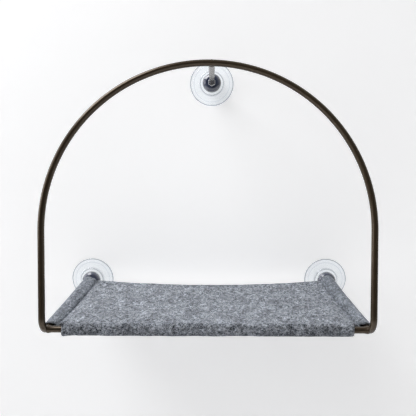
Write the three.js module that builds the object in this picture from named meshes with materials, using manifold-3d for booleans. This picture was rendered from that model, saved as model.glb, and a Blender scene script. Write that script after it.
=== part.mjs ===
// Cat window hammock: a bent steel hoop held to a window by three suction cups, with a felt sling.
// Sizes are millimetres. The origin lies on the window pane, midway between the lower cups and level
// with the side rods. +X is to the right seen from the room, +Y goes into the pane and +Z is up.
import * as THREE from 'three';
import { mergeVertices } from 'three/addons/utils/BufferGeometryUtils.js';
import Module from 'manifold-3d';

const wasm = await Module();
wasm.setup();

// General clearances
const fit = 0.3;                   // gap between neighbours that touch on the real object
const overrun = 2;                 // how far a cutting solid runs past what it cuts
const circleSides = 32;            // facets round every turned piece

// Hoop: one bent rod, from the left cup forward, up and over, and back to the right cup
const rodDiameter = 10;
const rodSides = 12;
const straightSteps = 2;           // stations along a side rod and along a leg
const bendSteps = 8;
const archSteps = 30;              // over half the arch
const reach = 300;                 // pane to the foot of the arch
const archRadius = 245;            // to the rod's centre line
const archCentreHeight = 156;      // up the leaning plane, from the side rods to the arch's centre
const archLean = THREE.MathUtils.degToRad(9.7);   // the arch leans back towards the pane
const legToe = THREE.MathUtils.degToRad(1.5);     // the legs draw in towards their feet
const bendRadius = 20;             // where a leg turns back into a side rod
const threadDiameter = 8;
const threadLength = 6.4;          // thread beyond the rod's shoulder

// Crossbar between the two bends, under the front of the sling
const crossbarDiameter = 10;
const crossbarSetback = 14;        // behind the foot of the arch
const crossbarRise = 2.5;          // above the side rods
const weldReach = 6;               // how far a weld fillet spreads along the bar
const weldGrowth = 1.2;            // how much thicker the fillet is where it meets the rod

// Stay from the top of the arch back to the upper cup
const stayDiameter = 10;
const stayOffset = 6;              // to the right of the middle

// Suction cup, measured out from the pane
const cupDiameter = 86;
const rimWidth = 5.5;              // flat land that seals on the pane
const rimThickness = 1.5;
const hollowDepth = 2.6;
const webThickness = 3.6;          // front of the disc where it meets the collar
const collarFootDiameter = 54;
const collarDiameter = 46;
const collarHeight = 8;
const collarRound = 1.2;
const neckDiameter = 17;
const headDiameter = 22;
const headThickness = 3;

// Thrust washer between cup and hub
const washerBore = 18.4;
const washerDiameter = 33;
const washerThickness = 1;

// Domed hub cap that the rod screws into
const hubDiameter = 36;
const hubLipThickness = 1.8;       // lip behind the head of the cup's neck
const hubSkirt = 3.4;              // straight part of the hub's side
const hubWeb = 1.2;                // wall between the socket and the nut's pocket
const hubCrownDiameter = 19;       // flat crown round the nut
const ringGrooveWidth = 0.8;       // turned rings on the dome
const ringGrooveDepth = 0.5;
const ringCount = 2;

// Hexagon nut moulded into the hub
const nutAcrossFlats = 13;
const nutHeight = 6.5;
const nutProud = 1.5;              // how far the nut stands out of the crown
const nutChamfer = 0.9;

// Felt sling
const feltThickness = 3.6;
const feltGap = 0.5;               // between the felt and the crossbar inside it
const sleeveGap = 2.2;             // between a side rod and its looser sleeve
const sleeveCrease = 15.5;         // from a side rod's centre to the seam of its sleeve
const creaseRise = 1;              // top of the felt at the seam, above the side rod's centre
const creaseFrontLift = 5;         // how much higher the seam lies at the crossbar
const creaseBackLift = 3;          // how much higher it lies at the back edge
const sleeveFlap = 18;             // hem beyond the seam, folded under
const sleeveFrontGap = 9;          // crossbar's centre line to the front end of the side sleeves
const sleeveBackGap = 2.4;         // hub to the back edge of the sling
const backSag = 9;                 // dip in the middle of the back edge
const frontSleeveInset = 24;       // side rod's centre line to the end of the front sleeve
const frontSlack = 0.5;            // felt hangs this much below the crossbar
const frontFlap = 46;              // crossbar's centre line to the end of the flap under the sling
const liftRun = 8;                 // how soon the front rises beside the seam
const liftSpread = 120;            // how much later that is at the back
const sleeveSteps = 8;             // facets round a side rod
const panelColumns = 14;
const panelRows = 8;
const flapSteps = 2;
const wrapSteps = 4;               // facets of each quarter turn round the crossbar

// Hook and loop strips that close the front sleeve
const stripThickness = 1.2;
const stripWidth = 20;
const stripGap = 0.7;              // between each strip and what it is sewn to or grips
const stripEndInset = 46;          // side rod's centre line to the strips' ends
const stripColumns = 14;
const stripRows = 2;

// Thread of the two seams
const threadThickness = 0.9;
const seamThreadSides = 6;
const seamThreadSteps = 16;

// Worked out from the sizes above
const rodRadius = rodDiameter / 2;
const archUp = new THREE.Vector3(0, Math.sin(archLean), Math.cos(archLean));
const archCentre = new THREE.Vector3(0, -reach, 0).addScaledVector(archUp, archCentreHeight);
const arcFoot = archRadius * Math.cos(legToe);
const legLength = archCentreHeight - archRadius * Math.sin(legToe);
const sideRodX = arcFoot - legLength * Math.tan(legToe);
const crossbarY = crossbarSetback - reach;
const apexHeight = (archCentreHeight + archRadius) * Math.cos(archLean);
const apexDepth = -reach + (archCentreHeight + archRadius) * Math.sin(archLean);
const washerBack = collarHeight + fit;
const hubBack = washerBack + washerThickness + fit;
const headBack = hubBack + hubLipThickness + fit;
const socketEnd = headBack + headThickness + fit;
const pocketFloor = socketEnd + hubWeb;
const nutBack = pocketFloor + fit;
const hubFront = nutBack + nutHeight - nutProud;
const shoulder = nutBack + nutHeight + fit;      // distance of the rod's shoulder from the pane
const slingBack = -(hubFront + sleeveBackGap + nutProud);
const slingFront = crossbarY + sleeveFrontGap;

// Geometry helpers

function signedVolume(geometry) {
  const p = geometry.attributes.position;
  const index = geometry.index;
  const corner = [new THREE.Vector3(), new THREE.Vector3(), new THREE.Vector3()];
  let sum = 0;
  for (let i = 0; i < index.count; i += 3) {
    corner.forEach((v, k) => v.fromBufferAttribute(p, index.getX(i + k)));
    sum += corner[0].dot(corner[1].cross(corner[2]));
  }
  return sum;
}

// Welds shared points and turns the faces outwards.
function closed(source) {
  const bare = source.clone();
  bare.deleteAttribute('normal');
  bare.deleteAttribute('uv');
  const geometry = mergeVertices(bare, fit / 1000);
  if (signedVolume(geometry) < 0) {
    const flipped = [];
    for (let i = 0; i < geometry.index.count; i += 3) {
      flipped.push(geometry.index.getX(i), geometry.index.getX(i + 2), geometry.index.getX(i + 1));
    }
    geometry.setIndex(flipped);
  }
  return geometry;
}

function solid(geometry) {
  const body = closed(geometry);
  const mesh = new wasm.Mesh({
    numProp: 3,
    vertProperties: new Float32Array(body.attributes.position.array),
    triVerts: new Uint32Array(body.index.array),
  });
  return new wasm.Manifold(mesh);
}

function surface(manifold) {
  const mesh = manifold.getMesh();
  const geometry = new THREE.BufferGeometry();
  geometry.setAttribute('position', new THREE.BufferAttribute(new Float32Array(mesh.vertProperties), 3));
  geometry.setIndex(Array.from(mesh.triVerts));
  return geometry;
}

// A closed profile of [radius, distance from the pane] turned about the Y axis.
function turned(profile, sides = circleSides) {
  return closed(new THREE.LatheGeometry(profile.map(([r, d]) => new THREE.Vector2(r, -d)), sides));
}

// A round bar between two points.
function bar(from, to, radius, sides = circleSides) {
  const along = new THREE.Vector3().subVectors(to, from);
  const geometry = new THREE.CylinderGeometry(radius, radius, along.length(), sides);
  geometry.applyQuaternion(new THREE.Quaternion().setFromUnitVectors(
    new THREE.Vector3(0, 1, 0), along.clone().normalize()));
  const middle = new THREE.Vector3().addVectors(from, to).multiplyScalar(1 / 2);
  return geometry.translate(middle.x, middle.y, middle.z);
}

// A sheet of even thickness about a grid of points. A cell is left out where keep says no.
function sheet(grid, thickness, keep = () => true) {
  const rows = grid.length;
  const columns = grid[0].length;
  const positions = [];
  const faces = [];
  const at = (row, column, side) => (row * columns + column) * 2 + side;
  const isKept = (row, column) => (
    row >= 0 && column >= 0 && row < rows - 1 && column < columns - 1 && keep(row, column));
  for (let row = 0; row < rows; row += 1) {
    for (let column = 0; column < columns; column += 1) {
      const normal = gridNormal(grid, row, column, isKept);
      for (const side of [1, -1]) {
        const point = grid[row][column].clone().addScaledVector(normal, side * thickness / 2);
        positions.push(point.x, point.y, point.z);
      }
    }
  }
  const quad = (a, b, c, d) => faces.push(a, b, c, a, c, d);
  for (let row = 0; row < rows - 1; row += 1) {
    for (let column = 0; column < columns - 1; column += 1) {
      if (!isKept(row, column)) continue;
      quad(at(row, column, 0), at(row, column + 1, 0), at(row + 1, column + 1, 0), at(row + 1, column, 0));
      quad(at(row, column, 1), at(row + 1, column, 1), at(row + 1, column + 1, 1), at(row, column + 1, 1));
      const wall = (r0, c0, r1, c1) => quad(at(r0, c0, 0), at(r0, c0, 1), at(r1, c1, 1), at(r1, c1, 0));
      if (!isKept(row - 1, column)) wall(row, column, row, column + 1);
      if (!isKept(row + 1, column)) wall(row + 1, column + 1, row + 1, column);
      if (!isKept(row, column - 1)) wall(row + 1, column, row, column);
      if (!isKept(row, column + 1)) wall(row, column + 1, row + 1, column + 1);
    }
  }
  const geometry = new THREE.BufferGeometry();
  geometry.setAttribute('position', new THREE.BufferAttribute(new Float32Array(positions), 3));
  geometry.setIndex(faces);
  return closed(withoutStrayPoints(geometry));
}

// The mean normal of the kept cells round a grid point.
function gridNormal(grid, row, column, isKept) {
  const normal = new THREE.Vector3();
  for (const [r, c] of [[row - 1, column - 1], [row - 1, column], [row, column - 1], [row, column]]) {
    if (!isKept(r, c)) continue;
    const across = new THREE.Vector3().subVectors(grid[r][c + 1], grid[r][c]);
    across.add(grid[r + 1][c + 1]).sub(grid[r + 1][c]);
    const along = new THREE.Vector3().subVectors(grid[r + 1][c], grid[r][c]);
    along.add(grid[r + 1][c + 1]).sub(grid[r][c + 1]);
    normal.add(across.cross(along).normalize());
  }
  return normal.normalize();
}

function withoutStrayPoints(geometry) {
  const p = geometry.attributes.position;
  const used = new Map();
  const positions = [];
  const faces = [];
  for (let i = 0; i < geometry.index.count; i += 1) {
    const old = geometry.index.getX(i);
    if (!used.has(old)) {
      used.set(old, used.size);
      positions.push(p.getX(old), p.getY(old), p.getZ(old));
    }
    faces.push(used.get(old));
  }
  const tidy = new THREE.BufferGeometry();
  tidy.setAttribute('position', new THREE.BufferAttribute(new Float32Array(positions), 3));
  tidy.setIndex(faces);
  return tidy;
}

function steps(count, from, to) {
  return Array.from({ length: count + 1 }, (_, i) => THREE.MathUtils.lerp(from, to, i / count));
}

// A path in pieces: each piece is [number of steps, point at its share 0 to 1].
class RodPath extends THREE.Curve {
  constructor(pieces) {
    super();
    this.pieces = pieces;
    this.total = pieces.reduce((sum, [count]) => sum + count, 0);
  }

  getPoint(t, target = new THREE.Vector3()) {
    let rest = t * this.total;
    for (const [count, point] of this.pieces) {
      if (rest <= count) return target.copy(point(rest / count));
      rest -= count;
    }
    return target.copy(this.pieces[this.pieces.length - 1][1](1));
  }

  // The steps stay where the pieces put them.
  getUtoTmapping(u) {
    return u;
  }
}

function disc(radius, sides) {
  return new THREE.Shape(steps(sides - 1, 0, 2 * Math.PI * (1 - 1 / sides)).map(
    (a) => new THREE.Vector2(radius * Math.cos(a), radius * Math.sin(a))));
}

function tube(path, radius, sides) {
  return closed(new THREE.ExtrudeGeometry(disc(radius, sides), {
    extrudePath: path, steps: path.total, bevelEnabled: false }));
}

// Hoop, crossbar and stay

// The right half of the hoop: side rod, bend, leg and half the arch.
function hoopHalf(side) {
  const corner = new THREE.Vector3(sideRodX, -reach, 0);
  const back = new THREE.Vector3(0, 1, 0);
  const legTop = archCentre.clone().addScaledVector(archUp, -archRadius * Math.sin(legToe));
  legTop.x = arcFoot;
  const up = new THREE.Vector3().subVectors(legTop, corner).normalize();
  const opening = back.angleTo(up);
  const tangent = bendRadius / Math.tan(opening / 2);
  const bendBack = corner.clone().addScaledVector(back, tangent);
  const bendUp = corner.clone().addScaledVector(up, tangent);
  const bisector = new THREE.Vector3().addVectors(back, up).normalize();
  const bendCentre = corner.clone().addScaledVector(bisector, bendRadius / Math.sin(opening / 2));
  const first = new THREE.Vector3().subVectors(bendBack, bendCentre);
  const last = new THREE.Vector3().subVectors(bendUp, bendCentre);
  const turn = first.angleTo(last);
  const rodEnd = new THREE.Vector3(sideRodX, -shoulder, 0);
  const place = (v) => v.multiply(new THREE.Vector3(side, 1, 1));
  const line = (a, b) => (t) => place(a.clone().lerp(b, t));
  const bend = (t) => place(bendCentre.clone()
    .addScaledVector(first, Math.sin(turn * (1 - t)) / Math.sin(turn))
    .addScaledVector(last, Math.sin(turn * t) / Math.sin(turn)));
  const arch = (t) => {
    const angle = THREE.MathUtils.lerp(-legToe, Math.PI / 2, t);
    const point = archCentre.clone().addScaledVector(archUp, archRadius * Math.sin(angle));
    point.x = archRadius * Math.cos(angle);
    return place(point);
  };
  return [
    [straightSteps, line(rodEnd, bendBack)],
    [bendSteps, bend],
    [straightSteps, line(bendUp, legTop)],
    [archSteps, arch],
  ];
}

function hoopPath() {
  const reversed = ([count, point]) => [count, (t) => point(1 - t)];
  return new RodPath([...hoopHalf(-1), ...hoopHalf(1).reverse().map(reversed)]);
}

function hoop(radius) {
  return solid(tube(hoopPath(), radius, rodSides));
}

function threadEnd(x, z, depth) {
  const from = new THREE.Vector3(x, -shoulder - depth, z);
  const to = new THREE.Vector3(x, -shoulder + threadLength, z);
  return bar(from, to, threadDiameter / 2);
}

function hoopRod() {
  let rod = hoop(rodRadius);
  for (const side of [-1, 1]) {
    rod = rod.add(solid(threadEnd(side * sideRodX, 0, rodDiameter)));
  }
  return surface(rod);
}

// A bar whose ends flare into weld fillets and are coped to the hoop.
function weldedBar(from, to, radius, filletEnds) {
  let body = solid(bar(from, to, radius));
  const along = new THREE.Vector3().subVectors(to, from).normalize();
  for (const end of filletEnds) {
    const inward = end === from ? 1 : -1;
    const foot = end.clone();
    const tip = end.clone().addScaledVector(along, inward * (rodRadius + weldReach));
    const flare = new THREE.CylinderGeometry(
      radius, radius + weldGrowth, foot.distanceTo(tip), circleSides);
    const direction = new THREE.Vector3().subVectors(tip, foot).normalize();
    flare.applyQuaternion(new THREE.Quaternion().setFromUnitVectors(new THREE.Vector3(0, 1, 0), direction));
    const middle = foot.clone().add(tip).multiplyScalar(1 / 2);
    body = body.add(solid(flare.translate(middle.x, middle.y, middle.z)));
  }
  return body.subtract(hoop(rodRadius + fit));
}

function crossbar() {
  const from = new THREE.Vector3(-sideRodX, crossbarY, crossbarRise);
  const to = new THREE.Vector3(sideRodX, crossbarY, crossbarRise);
  return surface(weldedBar(from, to, crossbarDiameter / 2, [from, to]));
}

function topStay() {
  const from = new THREE.Vector3(stayOffset, apexDepth, apexHeight);
  const to = new THREE.Vector3(stayOffset, -shoulder, apexHeight);
  const stay = weldedBar(from, to, stayDiameter / 2, [from]);
  return surface(stay.add(solid(threadEnd(stayOffset, apexHeight, stayDiameter))));
}

// Suction cup with its hub

function suctionCup() {
  const rim = cupDiameter / 2;
  const land = rim - rimWidth;
  const collar = collarDiameter / 2;
  const foot = collarFootDiameter / 2;
  const neck = neckDiameter / 2;
  const head = headDiameter / 2;
  const neckEnd = headBack + headThickness;
  return turned([
    [0, hollowDepth],
    [land / 2, hollowDepth * 3 / 4],
    [land, 0],
    [rim - rimThickness / 4, 0],
    [rim, rimThickness / 3],
    [rim - rimThickness / 3, rimThickness],
    [foot, webThickness],
    [collar + collarRound, webThickness + collarRound],
    [collar, collarHeight - collarRound],
    [collar - collarRound, collarHeight],
    [neck, collarHeight],
    [neck, headBack],
    [head, headBack],
    [head, neckEnd - headThickness / 3],
    [head - headThickness / 3, neckEnd],
    [0, neckEnd],
  ]);
}

function thrustWasher() {
  const inner = washerBore / 2;
  const outer = washerDiameter / 2;
  const front = washerBack + washerThickness;
  return turned([
    [inner, washerBack],
    [outer, washerBack],
    [outer, front],
    [inner, front],
    [inner, washerBack],
  ]);
}

// The dome from the skirt to the crown, as a quarter of an ellipse cut by turned rings.
function domeProfile() {
  const skirtEnd = hubBack + hubSkirt;
  const crown = hubCrownDiameter / 2;
  const height = hubFront - skirtEnd;
  const width = hubDiameter / 2 - crown;
  const points = [];
  const on = (angle, inset) => [
    crown + (width - inset) * Math.cos(angle),
    skirtEnd + (height - inset) * Math.sin(angle),
  ];
  for (const angle of steps(ringCount + 1, 0, Math.PI / 2).slice(0, -1)) {
    const half = ringGrooveWidth / (width + height);
    if (angle > 0) points.push(on(angle - half, 0), on(angle, ringGrooveDepth));
    points.push(on(angle + half, 0));
  }
  points.push([crown, hubFront]);
  return points;
}

function hexagon(acrossFlats, depth) {
  const shape = new THREE.Shape(steps(5, 0, Math.PI * 5 / 3).map((a) => {
    const corner = acrossFlats / Math.sqrt(3);
    return new THREE.Vector2(corner * Math.cos(a + Math.PI / 2), corner * Math.sin(a + Math.PI / 2));
  }));
  return new THREE.ExtrudeGeometry(shape, { depth, bevelEnabled: false }).rotateX(Math.PI / 2);
}

function hubCap() {
  const edge = ringGrooveDepth;
  const radius = hubDiameter / 2;
  const blank = solid(turned([
    [0, hubBack],
    [radius - edge, hubBack],
    [radius, hubBack + edge],
    ...domeProfile(),
    [0, hubFront],
  ]));
  const socket = solid(turned([
    [0, hubBack - overrun],
    [neckDiameter / 2 + fit, hubBack - overrun],
    [neckDiameter / 2 + fit, hubBack + hubLipThickness],
    [headDiameter / 2 + fit, hubBack + hubLipThickness],
    [headDiameter / 2 + fit, socketEnd],
    [0, socketEnd],
  ]));
  const depth = hubFront - pocketFloor + overrun;
  const pocket = solid(hexagon(nutAcrossFlats + 2 * fit, depth).translate(0, -pocketFloor, 0));
  return surface(blank.subtract(socket).subtract(pocket));
}

function hexNut() {
  const corner = nutAcrossFlats / Math.sqrt(3);
  const front = nutBack + nutHeight;
  const bevel = corner - nutChamfer;
  const barrel = solid(turned([
    [0, nutBack],
    [bevel, nutBack],
    [corner, nutBack + nutChamfer / 2],
    [corner, front - nutChamfer / 2],
    [bevel, front],
    [0, front],
  ]));
  const blank = solid(hexagon(nutAcrossFlats, nutHeight).translate(0, -nutBack, 0));
  const bore = threadDiameter / 2 + fit;
  const hole = solid(bar(
    new THREE.Vector3(0, -nutBack + overrun, 0), new THREE.Vector3(0, -front - overrun, 0), bore));
  return surface(blank.intersect(barrel).subtract(hole));
}

// Felt sling

// Where a straight line from a point touches a circle about zero, on its upper or its lower side.
function tangentAngle(point, radius, side) {
  return Math.atan2(point.y, point.x) + side * Math.acos(radius / point.length());
}

const feltHalf = feltThickness / 2;
const sleeveRadius = rodRadius + sleeveGap + feltHalf;
const wrapRadius = crossbarDiameter / 2 + feltGap + feltHalf;
const creaseX = sideRodX - sleeveCrease;
const creaseMid = creaseRise - feltHalf;
const barMid = crossbarRise + wrapRadius;

// Height of the felt's middle at a place on the panel.
function panelHeight(x, y) {
  const back = (y - crossbarY) / (slingBack - crossbarY);
  const inside = Math.min(1, (creaseX - Math.abs(x)) / (liftRun + liftSpread * back));
  const crease = creaseMid + creaseFrontLift * (1 - back) ** 4 + creaseBackLift * back ** 4;
  const lift = (barMid - crease) * (1 - back) * (1 - (1 - inside) ** 2);
  const sag = backSag * Math.sqrt(back) * (1 - (x / creaseX) ** 2);
  return crease + lift - sag;
}

// One side of the sling, from its hem under the panel, round the rod and up to the seam.
function sleeveSection(y) {
  const hemDrop = feltThickness + fit;
  const upper = new THREE.Vector2(sleeveCrease, panelHeight(creaseX, y));
  const lower = new THREE.Vector2(sleeveCrease, upper.y - hemDrop);
  const upperTouch = tangentAngle(upper, sleeveRadius, 1);
  const lowerTouch = tangentAngle(lower, sleeveRadius, -1) + 2 * Math.PI;
  const points = [1, 1 / 2].map((share) => {
    const a = sleeveCrease + sleeveFlap * share;
    return new THREE.Vector2(a, panelHeight(sideRodX - a, y) - hemDrop);
  });
  points.push(lower);
  for (const angle of steps(sleeveSteps, lowerTouch, upperTouch)) {
    points.push(new THREE.Vector2(sleeveRadius * Math.cos(angle), sleeveRadius * Math.sin(angle)));
  }
  return points;
}

// Places across the panel, with a line of points at the hems and at the front sleeve's ends.
const hemX = creaseX - sleeveFlap - fit;
const frontEndX = sideRodX - frontSleeveInset;
const panelPlaces = [-creaseX, -frontEndX, ...steps(panelColumns, -hemX, hemX), frontEndX, creaseX];

// One row across the whole sling.
function slingRow(y) {
  const side = sleeveSection(y);
  const left = side.map((p) => new THREE.Vector3(p.x - sideRodX, y, p.y));
  const right = side.map((p) => new THREE.Vector3(sideRodX - p.x, y, p.y)).reverse();
  const inner = panelPlaces.map((x) => new THREE.Vector3(x, y, panelHeight(x, y)));
  return [...left, ...inner, ...right];
}

// How far under the panel the front flap lies, with the two strips between them.
const flapDrop = feltThickness + 2 * stripThickness + 3 * stripGap;
const flapEnd = crossbarY + frontFlap;
const flapStart = flapEnd - stripWidth - 2 * fit;

// The front sleeve goes over the crossbar, down its front and back under the panel.
function wrapColumn(x) {
  const bottom = crossbarRise - frontSlack;
  const fromPanel = new THREE.Vector2(slingFront - crossbarY, panelHeight(x, slingFront) - crossbarRise);
  const toFlap = new THREE.Vector2(flapStart - crossbarY, panelHeight(x, flapStart) - flapDrop - bottom);
  const first = tangentAngle(fromPanel, wrapRadius, 1);
  const last = tangentAngle(toFlap, wrapRadius, -1) + 2 * Math.PI;
  const onCircle = (angle, centreZ) => new THREE.Vector3(
    x, crossbarY + wrapRadius * Math.cos(angle), centreZ + wrapRadius * Math.sin(angle));
  return [
    ...steps(wrapSteps, first, Math.PI).map((angle) => onCircle(angle, crossbarRise)),
    ...steps(wrapSteps, Math.PI, last).map((angle) => onCircle(angle, bottom)),
    ...steps(flapSteps, flapStart, flapEnd).map(
      (y) => new THREE.Vector3(x, y, panelHeight(x, y) - flapDrop)),
  ];
}

function feltSling() {
  const rows = steps(panelRows, slingBack, slingFront).map(slingRow);
  const frontRow = rows[panelRows];
  const columns = frontRow.map((p) => wrapColumn(THREE.MathUtils.clamp(p.x, -frontEndX, frontEndX)));
  const wrapRowCount = columns[0].length;
  for (let k = 0; k < wrapRowCount; k += 1) rows.push(columns.map((column) => column[k]));
  const sleeveCount = sleeveSection(slingBack).length;
  const flapRow = panelRows + 2 * (wrapSteps + 1);
  const keep = (row, column) => {
    if (row < panelRows) return true;
    const place = column - sleeveCount;
    const trim = row >= flapRow ? 2 : 1;
    return place >= trim && place < panelPlaces.length - 1 - trim;
  };
  return sheet(rows, feltThickness, keep);
}

function strip(drop) {
  const end = sideRodX - stripEndInset;
  const front = crossbarY + frontFlap - stripWidth - fit;
  const rows = steps(stripRows, front + stripWidth, front).map((y) => (
    steps(stripColumns, -end, end).map((x) => new THREE.Vector3(x, y, panelHeight(x, y) - drop))));
  return sheet(rows, stripThickness);
}

// The thread lies in the crease of a side sleeve.
function seamThread(side) {
  const inset = threadThickness + fit;
  const rise = feltHalf + fit + threadThickness;
  const path = new RodPath([[seamThreadSteps, (t) => {
    const y = THREE.MathUtils.lerp(slingBack - inset, slingFront + inset, t);
    return new THREE.Vector3(side * creaseX, y, panelHeight(creaseX, y) + rise);
  }]]);
  return tube(path, threadThickness / 2, seamThreadSides);
}

// Finishes

const finish = (color, roughness, metalness, more = {}) => () => (
  new THREE.MeshStandardMaterial({ color, roughness, metalness, ...more }));
const bronze = finish(0x3b322b, 0.35, 0.8);
const clearVinyl = finish(0xdfe8f0, 0.12, 0, { transparent: true, opacity: 0.35 });
const darkGloss = finish(0x23283a, 0.15, 0.4);
const steel = finish(0x6d7078, 0.25, 1);
const nylon = finish(0xe6e8ea, 0.5, 0);
const felt = finish(0x7c8089, 0.95, 0);
const blackNylon = finish(0x1d1e21, 0.8, 0);
const greyThread = finish(0x6b6f78, 0.7, 0);

// Assembly

const hammock = new THREE.Group();

function place(parent, name, geometry, material) {
  const mesh = new THREE.Mesh(geometry, material());
  mesh.name = name;
  parent.add(mesh);
}

place(hammock, 'hoop_rod', hoopRod(), bronze);
place(hammock, 'crossbar', crossbar(), bronze);
place(hammock, 'top_stay', topStay(), bronze);
place(hammock, 'felt_sling', feltSling(), felt);
place(hammock, 'loop_strip', strip(feltHalf + stripGap + stripThickness / 2), blackNylon);
place(hammock, 'hook_strip', strip(feltHalf + 2 * stripGap + stripThickness * 3 / 2), blackNylon);
place(hammock, 'left_seam_thread', seamThread(-1), greyThread);
place(hammock, 'right_seam_thread', seamThread(1), greyThread);

const cupPlaces = {
  left: [-sideRodX, 0],
  right: [sideRodX, 0],
  top: [stayOffset, apexHeight],
};
for (const [name, [x, z]] of Object.entries(cupPlaces)) {
  const unit = new THREE.Group();
  unit.position.set(x, 0, z);
  place(unit, `${name}_suction_cup`, suctionCup(), clearVinyl);
  place(unit, `${name}_thrust_washer`, thrustWasher(), nylon);
  place(unit, `${name}_hub_cap`, hubCap(), darkGloss);
  place(unit, `${name}_hex_nut`, hexNut(), steel);
  hammock.add(unit);
}

export default hammock;
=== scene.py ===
import math

import bpy
import numpy as np
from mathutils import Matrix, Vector


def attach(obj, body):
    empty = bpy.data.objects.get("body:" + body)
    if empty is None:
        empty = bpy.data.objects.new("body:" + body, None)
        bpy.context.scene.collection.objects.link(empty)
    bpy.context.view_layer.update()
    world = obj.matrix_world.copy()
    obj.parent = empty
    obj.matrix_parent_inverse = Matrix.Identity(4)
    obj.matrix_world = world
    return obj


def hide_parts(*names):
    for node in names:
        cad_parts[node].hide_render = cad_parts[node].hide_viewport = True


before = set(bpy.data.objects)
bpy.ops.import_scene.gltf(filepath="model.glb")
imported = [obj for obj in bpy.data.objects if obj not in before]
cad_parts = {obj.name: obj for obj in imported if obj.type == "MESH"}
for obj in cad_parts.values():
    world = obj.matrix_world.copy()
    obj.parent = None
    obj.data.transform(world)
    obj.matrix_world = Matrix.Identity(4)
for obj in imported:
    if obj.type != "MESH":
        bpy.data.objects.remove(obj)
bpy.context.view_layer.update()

# Sizes in millimetres, as in the CAD source. Y is negative in front of the pane.
MM = 0.001
FIT = 0.3
ROD_RADIUS = 5.0
THREAD_RADIUS = 4.0
THREAD_LENGTH = 6.4
THREAD_PITCH = 1.25
THREAD_DEPTH = 0.35
THREAD_STEPS = 60
# A thread's wave starts just past the shoulder's chamfer, and its tip is cut down by this much.
THREAD_START = 0.02
THREAD_TIP_CUT = 0.8
SIDE_ROD_X = 240.999
REACH = 300.0
ARCH_RADIUS = 245.0
ARCH_CENTRE_HEIGHT = 156.0
ARCH_LEAN = math.radians(9.7)
LEG_TOE = math.radians(1.5)
BEND_RADIUS = 20.0
SHOULDER = 23.3
CROSSBAR_RADIUS = 5.0
CROSSBAR_Y = -286.0
CROSSBAR_RISE = 2.5
STAY_RADIUS = 5.0
STAY_X = 6.0
APEX_HEIGHT = 395.267
APEX_DEPTH = -232.4
BAR_SIDES = 32
HOOP_SIDES = 40

# Welds: how far a bead runs out along its bar and how much it adds there, how far inside the rod
# it starts to rise and how far below the bar's surface, and where its fine rings end, with their
# number. A welded bar starts WELD_START from the middle of its rod.
WELD_START = 1.0
WELD_REACH = 6.0
WELD_GROWTH = 1.0
WELD_ROOT = 4.0
WELD_SINK = 0.9
WELD_ZONE = 16.0
WELD_RINGS = 26
# Uneven beads: their height round the bar and along it, how many go round, and their phase per mm.
BEAD_ROUND, BEAD_ALONG = 0.22, 0.15
BEADS_ROUND, BEAD_PHASE = 5, 2.6

FELT = 3.6
FELT_GAP = 0.5
SLEEVE_CREASE = 15.5
CREASE_RISE = 1.0
CREASE_FRONT_LIFT = 5.0
CREASE_BACK_LIFT = 3.0
CREASE_BACK_PULL = 2.5
PULL_RUN = 25.0
SLEEVE_FLAP = 18.0
BACK_SAG = 9.0
FRONT_SLEEVE_INSET = 24.0
ROLL_CREEP = 2.4
FRONT_SLACK = 0.5
FRONT_FLAP = 46.0
LIFT_RUN = 8.0
LIFT_SPREAD = 120.0
SLING_BACK = -25.4
SLING_FRONT = -278.5
STRIP_THICKNESS = 1.2
STRIP_WIDTH = 20.0
STRIP_GAP = 0.7
STRIP_END_INSET = 46.0
STITCH_PITCH = 4.5
STITCH_LENGTH = 3.3
STITCH_RADIUS = 0.42
# Puckers beside the seams: ribs at the stitches' pitch on a sleeve's flank, and finer ones further
# round it. Each has a depth, and lies that far from the seam over that width. The fine depth also
# dents the panel's side of a seam.
RIB_DEPTH = 1.2
RIB_PLACE, RIB_WIDTH = 5.0, 6.5
FINE_RIB_PITCH = 2.7
FINE_RIB_DEPTH = 0.30
FINE_RIB_PLACE, FINE_RIB_WIDTH = 15.0, 8.0
DENT_WIDTH = 2.2
# The felt's grid has a row this far inside each cut edge, which rounds the edge, and rows at a
# quarter of the stitches' pitch, which carry the ribs.
EDGE_ROW = 0.9
ROW_PITCH = STITCH_PITCH / 4

CUP_RADIUS = 43.0
NUT_HALF_FLATS = 6.5
# Fine turned rings on a hub's dome: their angles above its skirt in degrees, their depth, and how
# many degrees each is wide to either side.
HUB_RINGS = (24, 40, 56, 72)
HUB_RING_DEPTH = 0.16
HUB_RING_WIDTH = 1.8

CUPS = {"left": (-SIDE_ROD_X, 0.0), "right": (SIDE_ROD_X, 0.0), "top": (STAY_X, APEX_HEIGHT)}


# Materials

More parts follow.
